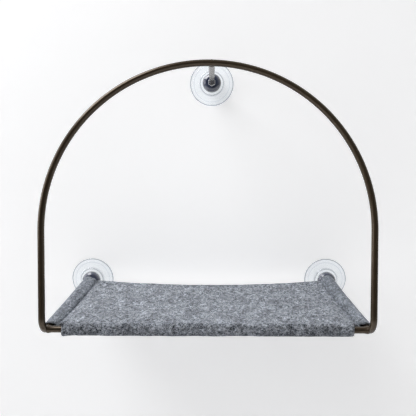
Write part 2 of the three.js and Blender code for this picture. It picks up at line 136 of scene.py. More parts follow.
class Nodes:
    """Builds the nodes of one material or world, with short calls for those that are used often."""

    def __init__(self, name, kind="Material"):
        library = bpy.data.worlds if kind == "World" else bpy.data.materials
        self.owner = library.new(name)
        self.owner.use_nodes = True
        self.tree = self.owner.node_tree
        self.tree.nodes.clear()
        self.output = self.node("Output" + kind)

    def node(self, kind, inputs=None, **settings):
        made = self.tree.nodes.new("ShaderNode" + kind)
        for key, value in settings.items():
            setattr(made, key, value)
        for key, value in (inputs or {}).items():
            if isinstance(value, bpy.types.NodeSocket):
                self.tree.links.new(value, made.inputs[key])
            else:
                made.inputs[key].default_value = value
        return made

    def surface(self, shader):
        """Sends a shader to the output and gives the finished material or world."""
        self.tree.links.new(shader.outputs[0], self.output.inputs[0])
        return self.owner

    def principled(self, inputs):
        return self.surface(self.node("BsdfPrincipled", inputs))

    def place(self):
        return self.node("TexCoord").outputs["Object"]

    def coordinates(self, scale=(1, 1, 1)):
        return self.node("Mapping", {"Vector": self.place(), "Scale": scale}).outputs[0]

    def noise(self, vector, scale, detail=2.0, roughness=0.5, distortion=0.0):
        return self.node("TexNoise", {"Vector": vector, "Scale": scale, "Detail": detail,
                                      "Roughness": roughness, "Distortion": distortion}).outputs[0]

    def ramp(self, value, stops):
        made = self.node("ValToRGB", {"Fac": value})
        elements = made.color_ramp.elements
        while len(elements) < len(stops):
            elements.new(0.5)
        for element, (position, color) in zip(elements, stops):
            element.position = position
            element.color = (*color, 1)
        return made.outputs[0]

    def calculate(self, operation, a, b=0.0):
        return self.node("Math", {0: a, 1: b}, operation=operation).outputs[0]

    def remap(self, value, start, end, low=0.0, high=1.0, smooth=False):
        """Takes values from start to end to values from low to high, and holds these beyond."""
        return self.node("MapRange", {"Value": value, "From Min": start, "From Max": end,
                                      "To Min": low, "To Max": high},
                         interpolation_type="SMOOTHSTEP" if smooth else "LINEAR").outputs[0]

    def spread(self, value, low, high):
        return self.remap(value, 0.0, 1.0, low, high)

    def mix(self, factor, a, b, blend="MIX"):
        made = self.node("Mix", {0: factor, 6: a, 7: b}, data_type="RGBA", blend_type=blend)
        return made.outputs[2]

    def bump(self, height, distance, strength, normal=None):
        """Relief of that height in metres, on top of another bump's normal if there is one."""
        inputs = {"Height": height, "Distance": distance, "Strength": strength}
        if normal is not None:
            inputs["Normal"] = normal
        return self.node("Bump", inputs).outputs[0]


def mottled_material(name, tone, rough, grain, inputs):
    """Tone, roughness and relief, each after a noise of its own: tone is that noise and two
    colours, rough the noise and two values, grain the noise, its height and its strength."""
    m = Nodes(name)
    place = m.coordinates()
    color = m.ramp(m.noise(place, *tone[0]), [(0.3, tone[1]), (0.7, tone[2])])
    return m.principled({"Base Color": color,
                         "Roughness": m.spread(m.noise(place, *rough[0]), *rough[1:]),
                         "Normal": m.bump(m.noise(place, *grain[0]), *grain[1:]), **inputs})


# Curly strands over the felt's clumps: noise scale, half width of the full line and of its soft
# edge in noise values, colour and share. Each lies at a level of its own, by its scale.
STRANDS = (
    (130, 0.004, 0.030, (0.014, 0.016, 0.017, 1), 0.80),
    (155, 0.004, 0.026, (0.68, 0.70, 0.74, 1), 0.80),
    (230, 0.000, 0.034, (0.022, 0.025, 0.026, 1), 0.80),
    (210, 0.000, 0.026, (0.62, 0.66, 0.74, 1), 0.86),
)
STRAND_LEVEL_STEP = 0.0001
# Soft darker and lighter patches: noise scale and how far they go from the felt's own tone.
CLOUDS = ((62, 0.22), (24, 0.10))
# The grain is calmer on the sleeves: from and to which distance from the middle, and by how much.
CALM_START, CALM_END, CALM_SHARE = 222.0, 232.0, 0.25
# Painted shade on the front roll where it turns down, away from the light, between these two places
# along Y.
ROLL_SHADE_START, ROLL_SHADE_END = -283.0, -275.0
# The distance from the middle that is 1 in the ramp of painted shade: a dark line in the crease at
# each seam and darker sleeves beyond it.
CREASE_SHADE_SCALE = 300.0


def felt_material():
    """Matted fibres: soft clumps of dark and light wool with curly strands of both over them.
    Painted shade darkens the crease at each seam, the sleeves and the front roll where it turns
    down."""
    m = Nodes("grey_melange_felt")
    place = m.coordinates((1.08, 0.58, 1.3))
    clumps = m.noise(place, 215, 4, 0.65, 0.8)
    color = m.ramp(clumps, [(0.37, (0.022, 0.026, 0.029)), (0.452, (0.110, 0.124, 0.144)),
                            (0.54, (0.323, 0.351, 0.398)), (0.64, (0.690, 0.727, 0.793))])
    for scale, core, edge, tone, share in STRANDS:
        curl = m.noise(m.coordinates((1.05, 0.62, 1.3)), scale, 2.5, 0.55, 1.6)
        line = m.calculate("SUBTRACT", curl, 0.5 + STRAND_LEVEL_STEP * scale)
        strand = m.remap(m.calculate("ABSOLUTE", line), core, edge, share, 0.0)
        color = m.mix(strand, color, tone)
    for scale, swing in CLOUDS:
        cloud = m.ramp(m.noise(place, scale, 3), [(0.32, (1 - swing,) * 3),
                                                  (0.68, (1 + swing,) * 3)])
        color = m.mix(1.0, color, cloud, "MULTIPLY")
    where = m.node("SeparateXYZ", {0: m.place()}).outputs
    across = m.calculate("ABSOLUTE", where[0])
    calm = m.remap(across, CALM_START * MM, CALM_END * MM, 0.0, CALM_SHARE)
    color = m.mix(calm, color, (0.290, 0.312, 0.352, 1))
    # Painted shade on the front roll as it turns down.
    turn = m.remap(where[1], ROLL_SHADE_START * MM, ROLL_SHADE_END * MM)
    turn = m.ramp(turn, [(0.0, (0.90, 0.90, 0.90)), (1.0, (1.0, 1.0, 1.0))])
    color = m.mix(1.0, color, turn, "MULTIPLY")
    across = m.remap(across, 0.0, CREASE_SHADE_SCALE * MM)
    # Painted shade: a dark line in the crease at each seam, and darker sleeves where their flanks
    # turn away from the light.
    seam = m.ramp(across, [(0.738, (1.0, 1.0, 1.0)), (0.750, (0.62, 0.63, 0.65)),
                           (0.760, (0.80, 0.81, 0.82)), (0.785, (0.84, 0.85, 0.86))])
    color = m.mix(1.0, color, seam, "MULTIPLY")
    pile = m.bump(m.noise(place, 1300, 3, 0.7), 0.0004, 0.45)
    return m.principled({"Base Color": color, "Roughness": 0.95, "Specular IOR Level": 0.10,
                         "Sheen Weight": 0.30, "Sheen Roughness": 0.40,
                         "Sheen Tint": (0.80, 0.86, 0.95, 1.0),
                         "Normal": m.bump(clumps, 0.0034, 0.6, pile)})


def vinyl_material(side, x, z):
    """Clear vinyl: nearly see-through where it is flat, with painted shade where a face stands
    steeply and painted dark rings at the moulded steps and rim of a cup, standing in for the dark
    lines that refraction draws there."""
    m = Nodes(f"clear_vinyl_{side}")
    place = m.coordinates()
    haze = m.noise(place, 40, 2)
    facing = m.node("SeparateXYZ", {0: m.node("NewGeometry").outputs["Normal"]}).outputs[1]
    flat = m.ramp(haze, [(0.3, (0.795, 0.815, 0.832)), (0.7, (0.815, 0.833, 0.848))])
    # Painted shade on faces that stand steeply, in place of the darkening by refraction.
    steep_shade = m.ramp(haze, [(0.3, (0.10, 0.115, 0.145)), (0.7, (0.14, 0.155, 0.19))])
    share = m.remap(m.calculate("ABSOLUTE", facing), 0.30, 0.93, smooth=True)
    tint = m.mix(share, steep_shade, flat)
    middle = m.node("CombineXYZ", {0: x * MM, 2: z * MM}).outputs[0]
    out = m.node("VectorMath", {0: place, 1: middle}, operation="SUBTRACT").outputs[0]
    out = m.node("VectorMath", {0: out, 1: (1.0, 0.0, 1.0)}, operation="MULTIPLY").outputs[0]
    out = m.node("VectorMath", {0: out}, operation="LENGTH").outputs["Value"]
    out = m.remap(out, 0.0, CUP_RADIUS * MM)
    clear = (1.0, 1.0, 1.0)
    # Painted dark rings at the cup's steps and rim, in place of the refraction lines there.
    rings = m.ramp(out, [(0.50, clear), (0.535, (0.86, 0.88, 0.91)), (0.57, clear), (0.79, clear),
                         (0.815, (0.87, 0.885, 0.91)), (0.84, clear), (0.945, clear),
                         (0.965, (0.60, 0.62, 0.66))])
    tint = m.mix(1.0, tint, rings, "MULTIPLY")
    body = m.node("BsdfPrincipled", {"Base Color": tint, "Roughness": m.spread(haze, 0.03, 0.09),
                                     "IOR": 1.45, "Transmission Weight": 1.0,
                                     "Normal": m.bump(m.noise(place, 90, 2), 0.00003, 0.2)})
    through = m.node("BsdfTransparent", {"Color": (0.95, 0.96, 0.97, 1)})
    shadow = m.node("LightPath").outputs["Is Shadow Ray"]
    return m.surface(m.node("MixShader", {0: shadow, 1: body.outputs[0], 2: through.outputs[0]}))


def tape_material(name, scale):
    m = Nodes(name)
    pile = m.noise(m.coordinates(), scale, 4, 0.7)
    tone = m.ramp(pile, [(0.35, (0.006, 0.006, 0.007)), (0.65, (0.035, 0.035, 0.038))])
    return m.principled({"Base Color": tone, "Roughness": 0.8, "Sheen Weight": 0.4,
                         "Normal": m.bump(pile, 0.0004, 0.8)})


def thread_material():
    m = Nodes("seam_thread")
    twist = m.node("TexWave", {"Vector": m.coordinates(), "Scale": 900.0, "Distortion": 1.5},
                   bands_direction="DIAGONAL").outputs[0]
    tone = m.ramp(twist, [(0.2, (0.09, 0.10, 0.12)), (0.8, (0.24, 0.26, 0.30))])
    return m.principled({"Base Color": tone, "Roughness": 0.7, "Sheen Weight": 0.3,
                         "Normal": m.bump(twist, 0.0001, 0.6)})


# The most that a stage surface's slope, a painted gradient of light, adds to its lift or takes off
# it, and its painted pool of light.
LIFT_SWING = 0.08
LIGHT_POOL_CENTRE = (0.0, 0.0032, 0.17)
LIGHT_POOL_RADIUS = 0.34


def stage_material(name, color, lift, slope=(0.0, 0.0, 0.0), pool=0.0):
    """A plain matt surface that is open from its back, so that the views from behind see the
    object. The camera and reflections see it paler by lift, which lights nothing. Painted light
    grows the lift by slope per metre and adds a soft painted pool of light in the middle."""
    m = Nodes(name)
    place = m.coordinates()
    low = tuple(c * 0.995 for c in color)
    tone = m.ramp(m.noise(place, 30, 3), [(0.3, low), (0.7, color)])
    front = m.node("BsdfDiffuse", {"Color": tone})
    path = m.node("LightPath").outputs
    seen = path["Is Camera Ray"]
    for kind in ("Is Glossy Ray", "Is Transmission Ray"):
        seen = m.calculate("MAXIMUM", seen, path[kind])
    # Painted light: a gradient along the slope and a soft pool in the middle.
    along = m.node("VectorMath", {0: place, 1: slope}, operation="DOT_PRODUCT").outputs["Value"]
    along = m.remap(along, -LIFT_SWING, LIFT_SWING, lift - LIFT_SWING, lift + LIFT_SWING)
    away = m.node("VectorMath", {0: place, 1: LIGHT_POOL_CENTRE}, operation="DISTANCE").outputs["Value"]
    soft = m.remap(away, 0.0, LIGHT_POOL_RADIUS, pool, 0.0, smooth=True)
    strength = m.calculate("MULTIPLY", seen, m.calculate("ADD", along, soft))
    pale = m.node("Emission", {"Color": (1.0, 1.0, 1.0, 1.0), "Strength": strength})
    front = m.node("AddShader", {0: front.outputs[0], 1: pale.outputs[0]})
    back = m.node("BsdfTransparent")
    side = m.node("NewGeometry").outputs["Backfacing"]
    return m.surface(m.node("MixShader", {0: side, 1: front.outputs[0], 2: back.outputs[0]}))


# Geometry

def piece(name, points, faces, material, body, replaces, sharp=None):
    """A smooth-shaded mesh from points in millimetres, which rides on a body and stands for a CAD
    node. Its edges of more than sharp degrees stay sharp."""
    mesh = bpy.data.meshes.new(name)
    faces = faces.tolist() if isinstance(faces, np.ndarray) else faces
    mesh.from_pydata((np.asarray(points, float) * MM).tolist(), [], faces)
    mesh.validate()
    mesh.update()
    mesh.polygons.foreach_set("use_smooth", [True] * len(mesh.polygons))
    if sharp is not None:
        mesh.set_sharp_from_angle(angle=math.radians(sharp))
    mesh.materials.append(material)
    obj = bpy.data.objects.new(name, mesh)
    bpy.context.scene.collection.objects.link(obj)
    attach(obj, body)
    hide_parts(replaces)
    return obj


def swept(line, radii, sides):
    """Points and faces of a round tube along a line of points, with closed ends."""
    line = np.asarray(line, float)
    radii = np.broadcast_to(np.asarray(radii, float), (len(line),))
    along = np.gradient(line, axis=0)
    along /= np.linalg.norm(along, axis=1)[:, None]
    side = np.cross(along[0], (0.0, 0.0, 1.0))
    if np.linalg.norm(side) < 1e-3:
        side = np.cross(along[0], (1.0, 0.0, 0.0))
    points = []
    for centre, ahead, radius in zip(line, along, radii):
        side = side - ahead * side.dot(ahead)
        side /= np.linalg.norm(side)
        up = np.cross(side, ahead)
        angles = np.linspace(0, 2 * math.pi, sides, endpoint=False)
        around = np.cos(angles)[:, None] * side + np.sin(angles)[:, None] * up
        points.append(centre + radius * around)
    faces = []
    for ring in range(len(line) - 1):
        for k in range(sides):
            a, b = ring * sides + k, ring * sides + (k + 1) % sides
            faces.append((a, b, b + sides, a + sides))
    last = (len(line) - 1) * sides
    faces.append(tuple(reversed(range(sides))))
    faces.append(tuple(range(last, last + sides)))
    return np.concatenate(points), faces


def outward(points, faces):
    """The same faces, turned so that the closed body's volume is positive."""
    points = np.asarray(points, float)
    volume = 0.0
    for f in faces:
        for i in range(1, len(f) - 1):
            volume += points[f[0]].dot(np.cross(points[f[i]], points[f[i + 1]]))
    return faces if volume > 0 else [tuple(reversed(f)) for f in faces]


def outward_quads(points, faces):
    """As outward(), for an array of quads."""
    a, b, c, d = (points[faces[:, i]] for i in range(4))
    volume = (a * np.cross(b, c)).sum() + (a * np.cross(c, d)).sum()
    return faces if volume > 0 else faces[:, ::-1]


def lathed(profile, sides):
    """A closed body turned about the Y axis. A profile point is (radius, depth from the pane) or
    (distance to a flat, depth, "hex") for a ring with six flats."""
    angles = np.linspace(0, 2 * math.pi, sides, endpoint=False)
    rings, points, faces = [], [], []
    for entry in profile:
        radius, depth = entry[0], entry[1]
        if radius == 0:
            rings.append([len(points)])
            points.append((0.0, -depth, 0.0))
            continue
        if len(entry) > 2:
            turned = np.mod(angles - math.pi / 2, math.pi / 3)
            reach = radius / np.cos(turned - math.pi / 6)
        else:
            reach = np.full(sides, radius)
        start = len(points)
        points.extend(zip(reach * np.cos(angles), np.full(sides, -depth), reach * np.sin(angles)))
        rings.append(list(range(start, start + sides)))
    pairs = list(zip(rings, rings[1:]))
    if profile[0][0] != 0:
        pairs.append((rings[-1], rings[0]))
    for a, b in pairs:
        for k in range(sides):
            n = (k + 1) % sides
            if len(a) == 1:
                faces.append((a[0], b[n], b[k]))
            elif len(b) == 1:
                faces.append((a[k], a[n], b[0]))
            else:
                faces.append((a[k], a[n], b[n], b[k]))
    return np.array(points), outward(points, faces)


def rounded(profile, radius, count):
    """A profile with each inner corner replaced by a small curve of count points."""
    out = [profile[0]]
    for before, here, after in zip(profile, profile[1:], profile[2:]):
        p, q, r = (np.array(e[:2], float) for e in (before, here, after))
        a, b = np.linalg.norm(p - q), np.linalg.norm(r - q)
        cut = min(radius, a * 0.45, b * 0.45)
        start, end = q + (p - q) / a * cut, q + (r - q) / b * cut
        for t in np.linspace(0, 1, count):
            w = (1 - t) ** 2 * start + 2 * t * (1 - t) * q + t ** 2 * end
            out.append((w[0], w[1]))
    out.append(profile[-1])
    return out


def hoop_line():
    """The rod's centre line, from the left shoulder to the right one."""
    up = np.array([0, math.sin(ARCH_LEAN), math.cos(ARCH_LEAN)])
    centre = np.array([0, -REACH, 0]) + up * ARCH_CENTRE_HEIGHT
    corner = np.array([SIDE_ROD_X, -REACH, 0.0])
    leg_top = centre - up * ARCH_RADIUS * math.sin(LEG_TOE)
    leg_top[0] = ARCH_RADIUS * math.cos(LEG_TOE)
    back = np.array([0.0, 1.0, 0.0])
    rise = (leg_top - corner) / np.linalg.norm(leg_top - corner)
    opening = math.acos(back.dot(rise))
    tangent = BEND_RADIUS / math.tan(opening / 2)
    bend_back, bend_up = corner + back * tangent, corner + rise * tangent
    bisector = (back + rise) / np.linalg.norm(back + rise)
    middle = corner + bisector * BEND_RADIUS / math.sin(opening / 2)
    first, last = bend_back - middle, bend_up - middle
    turn = math.acos(first.dot(last) / BEND_RADIUS ** 2)
    rod_end = np.array([SIDE_ROD_X, -SHOULDER, 0.0])
    rod_steps, bend_steps, leg_steps, arch_steps = 24, 22, 16, 76
    half = [rod_end + (bend_back - rod_end) * t
            for t in np.linspace(0, 1, rod_steps, endpoint=False)]
    for t in np.linspace(0, 1, bend_steps, endpoint=False):
        half.append(middle + first * math.sin(turn * (1 - t)) / math.sin(turn)
                    + last * math.sin(turn * t) / math.sin(turn))
    half += [bend_up + (leg_top - bend_up) * t
             for t in np.linspace(0, 1, leg_steps, endpoint=False)]
    for angle in np.linspace(-LEG_TOE, math.pi / 2, arch_steps):
        point = centre + up * ARCH_RADIUS * math.sin(angle)
        point[0] = ARCH_RADIUS * math.cos(angle)
        half.append(point)
    half = np.array(half)
    left = half * (-1, 1, 1)
    return np.concatenate([left, half[::-1][1:]])


def rod_with_threads(line, radius, ends):
    """A rod's line and radii, where its named ends step down over a chamfer to a thread."""
    line = list(line)
    radii = [radius] * len(line)
    # Distances past the shoulder, and radii there.
    chamfer = [(-0.7, radius), (-0.25, radius - 0.18), (0.0, radius - 0.55),
               (0.01, THREAD_RADIUS - 0.4)]
    along = np.linspace(0, THREAD_LENGTH, THREAD_STEPS)
    wave = 0.5 + 0.5 * np.cos(along / THREAD_PITCH * 2 * math.pi)
    thread = THREAD_RADIUS - THREAD_DEPTH * wave
    thread[-1] = THREAD_RADIUS - THREAD_TIP_CUT
    steps = [a for a, _ in chamfer] + [a + THREAD_START for a in along]
    sizes = [r for _, r in chamfer] + list(thread)
    for end in ends:
        tip, inner = (line[0], line[1]) if end == "first" else (line[-1], line[-2])
        ahead = (tip - inner) / np.linalg.norm(tip - inner)
        extra = [tip + ahead * a for a in steps]
        if end == "first":
            line, radii = extra[::-1] + line[1:], sizes[::-1] + radii[1:]
        else:
            line, radii = line[:-1] + extra, radii[:-1] + sizes
    return np.array(line), np.array(radii)


def build_hoop(material):
    line, radii = rod_with_threads(hoop_line(), ROD_RADIUS, ("first", "last"))
    points, faces = swept(line, radii, HOOP_SIDES)
    piece("hoop", points, outward(points, faces), material, "frame", "hoop_rod",
          sharp=50)


def weld(distance):
    """How much a bar is thicker at a distance from the middle of the rod that it is welded to. The
    bead rises out of that rod, is thickest just outside it and runs out along the bar."""
    out = distance - ROD_RADIUS
    rise = np.clip((out + WELD_ROOT) / WELD_ROOT, 0, 1)
    fall = np.clip(1 - out / WELD_REACH, 0, 1)
    bead = -WELD_SINK + (WELD_GROWTH + WELD_SINK) * rise ** 0.7
    return np.where(out < 0, bead, WELD_GROWTH * fall ** 1.8)


def weld_ripples(points, line, distance):
    """Uneven beads on the part of the bar that the weld covers."""
    rings = points.reshape(len(line), BAR_SIDES, 3).copy()
    share = np.clip(1 - (distance - ROD_RADIUS) / WELD_REACH, 0, 1)[:, None]
    angle = (np.arange(BAR_SIDES) / BAR_SIDES * 2 * math.pi)[None, :]
    bead = BEAD_ROUND * np.sin(BEADS_ROUND * angle) * share
    bead = bead + BEAD_ALONG * np.sin(distance[:, None] * BEAD_PHASE + 2 * np.sin(angle)) * share
    away = rings - line[:, None, :]
    length = np.linalg.norm(away, axis=2)[:, :, None]
    rings += away / length * bead[:, :, None]
    return rings.reshape(-1, 3)


def build_crossbar(material):
    reach = SIDE_ROD_X - WELD_START
    fine = np.linspace(0, ROD_RADIUS + WELD_REACH + 1, WELD_RINGS)
    plain = np.linspace(-reach + WELD_ZONE, reach - WELD_ZONE, 40)
    x = np.concatenate([-reach + fine, plain, (reach - fine)[::-1]])
    line = np.stack([x, np.full_like(x, CROSSBAR_Y), np.full_like(x, CROSSBAR_RISE)], axis=1)
    distance = SIDE_ROD_X - np.abs(x)
    points, faces = swept(line, CROSSBAR_RADIUS + weld(distance), BAR_SIDES)
    points = weld_ripples(points, line, distance)
    piece("crossbar_bar", points, outward(points, faces), material, "frame",
          "crossbar")


def build_stay(material):
    fine = np.linspace(APEX_DEPTH + WELD_START, APEX_DEPTH + ROD_RADIUS + WELD_REACH + 1,
                       WELD_RINGS)
    y = np.concatenate([fine, np.linspace(APEX_DEPTH + WELD_ZONE, -SHOULDER, 26)])
    line = np.stack([np.full_like(y, STAY_X), y, np.full_like(y, APEX_HEIGHT)], axis=1)
    line, radii = rod_with_threads(line, STAY_RADIUS, ("last",))
    distance = line[:, 1] - APEX_DEPTH
    bar = len(y) - 1
    radii[:bar] = STAY_RADIUS + weld(distance[:bar])
    points, faces = swept(line, radii, BAR_SIDES)
    points = weld_ripples(points, line, distance)
    piece("stay_rod", points, outward(points, faces), material, "frame", "top_stay")


def cup_profile():
    """The cup from its hollow face over the sealing land, the rim, the collar and the neck to the
    head that snaps into the hub."""
    rim, land, collar, foot, neck, head = CUP_RADIUS, 37.5, 22.4, 25.6, 8.5, 11.0
    edge = [(rim, 0.0), (rim, 0.25), (rim - 0.5, 0.85), (rim - 1.15, 1.42), (rim - 1.6, 1.6),
            (rim - 2.2, 1.5)]
    groove = [(land + 0.9, 1.5), (land + 0.5, 1.27), (land + 0.1, 1.27), (land - 0.3, 1.6)]
    lip = [(collar - 1.6 + 1.6 * math.cos(a), 6.4 + 1.6 * math.sin(a))
           for a in np.radians((0, 18, 36, 54, 72, 90))]
    corners = [(0, 2.6), (land / 2, 1.95), (land - 1.2, 0.25), (land, 0.0), *edge, *groove,
               (foot + 2.4, 3.0), (foot, 3.5), (foot - 1.2, 4.3), (collar + 0.7, 5.5), *lip,
               (neck, 8.0), (neck, 11.7), (head - 0.6, 11.7), (head, 12.2), (head, 13.9),
               (head - 1.0, 14.7), (0, 14.7)]
    return rounded(corners, 0.35, 3)


def hub_profile():
    """The hub from its hollow back round the skirt and over the domed front into the nut's seat."""
    back, skirt, front, crown, outer = 9.6, 13.0, 21.5, 9.5, 18.0
    height, width = front - skirt, outer - crown
    inside = [(0, 15.0), (11.3, 15.0), (11.3, 11.4), (8.8, 11.4), (8.8, back)]
    points = [(outer - 0.5, back), (outer, back + 0.5), (outer, skirt)]
    for angle in np.radians(np.arange(4, 91, 1.0)):
        dip = 0.0
        for ring in HUB_RINGS:
            dip += HUB_RING_DEPTH * math.exp(-((math.degrees(angle) - ring) / HUB_RING_WIDTH) ** 2)
        points.append((crown + (width - dip) * math.cos(angle),
                       skirt + (height - dip) * math.sin(angle)))
    seat, floor = NUT_HALF_FLATS + FIT, 16.2
    points += [(seat + 0.35, front, "hex"), (seat, front - 0.35, "hex"), (seat, floor, "hex")]
    return inside + points + [(3.0, floor), (0, floor)]


def nut_profile():
    """A hexagon nut with a softened front edge, and a bore with fine threads."""
    flat, back, front, bore = NUT_HALF_FLATS, 16.5, 23.0, 4.3
    thread_depth, half_pitch = 0.25, 0.28
    points = [(bore + 0.5, back), (flat - 0.5, back), (flat, back + 0.5, "hex"),
              (flat, front - 1.0, "hex"), (flat - 0.2, front - 0.75, "hex"),
              (flat - 0.75, front - 0.1, "hex"), (flat - 1.0, front, "hex"),
              (bore + 0.6, front), (bore, front - 0.6)]
    for k in range(18):
        points.append((bore - thread_depth * (k % 2), front - 0.8 - k * half_pitch))
    return points


def build_cup(side, x, z, vinyl, gloss, steel):
    """A cup with its hub and nut, each turned about the cup's axis at x, z."""
    for name, profile, sides, material, body, slot, node, sharp in (
            ("cup_disc", cup_profile(), 128, vinyl, "cup", "clear_vinyl", "suction_cup", 40),
            ("hub_dome", hub_profile(), 96, gloss, "hub", "dark_gloss", "hub_cap", 32),
            ("nut", nut_profile(), 96, steel, "hub", "nut_steel", "hex_nut", 22)):
        points, faces = lathed(profile, sides)
        piece(f"{side}_{name}", points + np.array([x, 0.0, z]), faces, material,
              f"{side}_{body}", f"{side}_{node}", sharp)


# Felt sling

FELT_HALF = FELT / 2
WRAP_RADIUS = CROSSBAR_RADIUS + FELT_GAP + FELT_HALF
CREASE_X = SIDE_ROD_X - SLEEVE_CREASE
CREASE_MID = CREASE_RISE - FELT_HALF
BAR_MID = CROSSBAR_RISE + WRAP_RADIUS
HEM_DROP = FELT + FIT
HEM_X = CREASE_X - SLEEVE_FLAP - FIT
FRONT_END_X = SIDE_ROD_X - FRONT_SLEEVE_INSET - ROLL_CREEP
FLAP_DROP = FELT + 2 * STRIP_THICKNESS + 3 * STRIP_GAP
FLAP_END = CROSSBAR_Y + FRONT_FLAP
FLAP_START = FLAP_END - STRIP_WIDTH - 2 * FIT


def panel_height(x, y):
    """The height of the felt's middle surface between its seams. At the front it rises from the
    seams to lie on the crossbar, and at the back it sags."""
    back = (y - CROSSBAR_Y) / (SLING_BACK - CROSSBAR_Y)
    inside = min(1.0, (CREASE_X - abs(x)) / (LIFT_RUN + LIFT_SPREAD * back))
    crease = CREASE_MID + CREASE_FRONT_LIFT * (1 - back) ** 4 + CREASE_BACK_LIFT * back ** 4
    lift = (BAR_MID - crease) * (1 - back) * (1 - (1 - inside) ** 2)
    sag = BACK_SAG * math.sqrt(max(back, 0.0)) * (1 - (x / CREASE_X) ** 2)
    return crease + lift - sag


def tangent_angle(x, y, radius, side):
    """The angle at which a tangent from x, y touches a circle about the origin, on either side."""
    return math.atan2(y, x) + side * math.acos(radius / math.hypot(x, y))


def between(a, b, count):
    """count points after a, up to and with b."""
    a, b = np.array(a), np.array(b)
    return [tuple(a + (b - a) * k / count) for k in range(1, count + 1)]


# A loose sleeve as a tube: its radius and its centre, inwards and up from the rod, at the front
# end and at the back end. The right one stands up a little over its hub.
SLEEVES = {
    "left": ((8.3, 2.6, -0.5), (10.2, -1.6, -0.2)),
    "right": ((8.3, 2.6, -0.5), (10.6, 1.6, 3.0)),
}
FLANK_BULGE = 1.5
# The front mouth of a sleeve: how far its outer side stands back, the share of that at the top, and
# how far along the sleeve it fades.
MOUTH_SLANT = 16.0
MOUTH_TOP = 0.45
MOUTH_RUN = 60.0


def sleeve_section(side, y):
    """The section of a side sleeve, from its hem under the panel round the rod and up to the seam.
    Each point has its distance inwards from the rod, its height and its share of the mouth's
    slant."""
    back = (y - CROSSBAR_Y) / (SLING_BACK - CROSSBAR_Y)
    front_end, back_end = (np.array(end) for end in SLEEVES[side])
    radius, inwards, up = front_end + (back_end - front_end) * back ** 1.6
    crease = SLEEVE_CREASE - CREASE_BACK_PULL * back ** 4
    upper = np.array([crease, panel_height(CREASE_X, y)])
    lower = upper - (0, HEM_DROP)
    centre = np.array([inwards, up])

    def on(angle):
        return centre + radius * np.array([math.cos(angle), math.sin(angle)])

    top = tangent_angle(*(upper - centre), radius, 1)
    under = tangent_angle(*(lower - centre), radius, -1) + 2 * math.pi
    out = []
    for s in (0.0, EDGE_ROW, 3.0, 6.0, 9.0, 12.0, 15.0):
        a = crease + SLEEVE_FLAP - s
        out.append((a, panel_height(SIDE_ROD_X - a, y) - HEM_DROP, 1.0))
    out.append((*lower, 1.0))
    out += [(*p, 1.0) for p in between(lower, on(under), 6)]
    for angle in np.linspace(under, top, 31)[1:]:
        slant = min(1.0, max(0.0, (angle - math.pi / 2) / math.pi))
        out.append((*on(angle), MOUTH_TOP + (1 - MOUTH_TOP) * slant))
    flank = upper - on(top)
    outwards = np.array([-flank[1], flank[0]]) / np.linalg.norm(flank)
    for s in np.linspace(0, 1, 13)[1:-1]:
        swell = FLANK_BULGE * math.sin(math.pi * s ** 1.25)
        out.append((*(on(top) + flank * s + outwards * swell), MOUTH_TOP * (1 - s ** 12)))
    return out


def panel_places():
    """Where the panel's columns lie, closer together at the hem's and the front roll's ends."""
    inner = [HEM_X - EDGE_ROW, HEM_X, HEM_X + EDGE_ROW, HEM_X + 2.5, FRONT_END_X - EDGE_ROW,
             FRONT_END_X]
    half = inner[:4] + list(np.linspace(HEM_X + 5, FRONT_END_X - 3, 3)) + inner[4:]
    half += list(np.linspace(FRONT_END_X, CREASE_X, 5)[1:])
    middle = list(np.linspace(-(HEM_X - 4), HEM_X - 4, 100))
    return [-v for v in reversed(half)] + middle + half


def sling_row(y, places):
    """The felt's section at y: the left hem and sleeve, the panel, and the right sleeve and hem."""
    back = (y - CROSSBAR_Y) / (SLING_BACK - CROSSBAR_Y)
    pull = CREASE_BACK_PULL * back ** 4
    front = max(0.0, 1 - (y - SLING_FRONT) / MOUTH_RUN) ** 2
    left = [(a - SIDE_ROD_X, y + MOUTH_SLANT * front * slant, z)
            for a, z, slant in sleeve_section("left", y)]
    right = [(SIDE_ROD_X - a, y + MOUTH_SLANT * front * slant, z)
             for a, z, slant in reversed(sleeve_section("right", y))]
    panel = []
    for x in places:
        near = max(0.0, 1 - (CREASE_X - abs(x)) / PULL_RUN) ** 2
        panel.append((x + math.copysign(pull * near, x), y, panel_height(x, y)))
    return left + panel + right


# The felt keeps a blunt fold over the front of the crossbar, so its section there is squarer than
# a circle: by how much, at which angle and over how wide a one.
FOLD_PEAK = 0.33
FOLD_ANGLE = math.radians(119)
FOLD_SPREAD = math.radians(24)
FOLD_ROWS = 18
BOTTOM_ROWS = 12


def wrap_column(x):
    """The felt round the crossbar and back under the panel at x, and how many of its points come
    before the flap."""
    bottom = CROSSBAR_RISE - FRONT_SLACK
    first = tangent_angle(SLING_FRONT - CROSSBAR_Y, panel_height(x, SLING_FRONT) - CROSSBAR_RISE,
                          WRAP_RADIUS, 1)
    last = tangent_angle(FLAP_START - CROSSBAR_Y, panel_height(x, FLAP_START) - FLAP_DROP - bottom,
                         WRAP_RADIUS, -1) + 2 * math.pi

    def on(angle, z):
        peak = FOLD_PEAK * math.exp(-((angle - FOLD_ANGLE) / FOLD_SPREAD) ** 2)
        radius = WRAP_RADIUS * (1 + peak)
        return x, CROSSBAR_Y + radius * math.cos(angle), z + radius * math.sin(angle)

    out = [on(angle, CROSSBAR_RISE) for angle in np.linspace(first, math.pi, FOLD_ROWS)]
    out += between(out[-1], on(math.pi, bottom), 3)[:-1]
    out += [on(angle, bottom) for angle in np.linspace(math.pi, last, BOTTOM_ROWS)]
    flap = [(x, y, panel_height(x, y) - FLAP_DROP) for y in
            (*np.linspace(FLAP_START, FLAP_END - 3, 6), FLAP_END - EDGE_ROW, FLAP_END)]
    out += between(out[-1], flap[0], 4)[:-1]
    return out + flap, len(out)


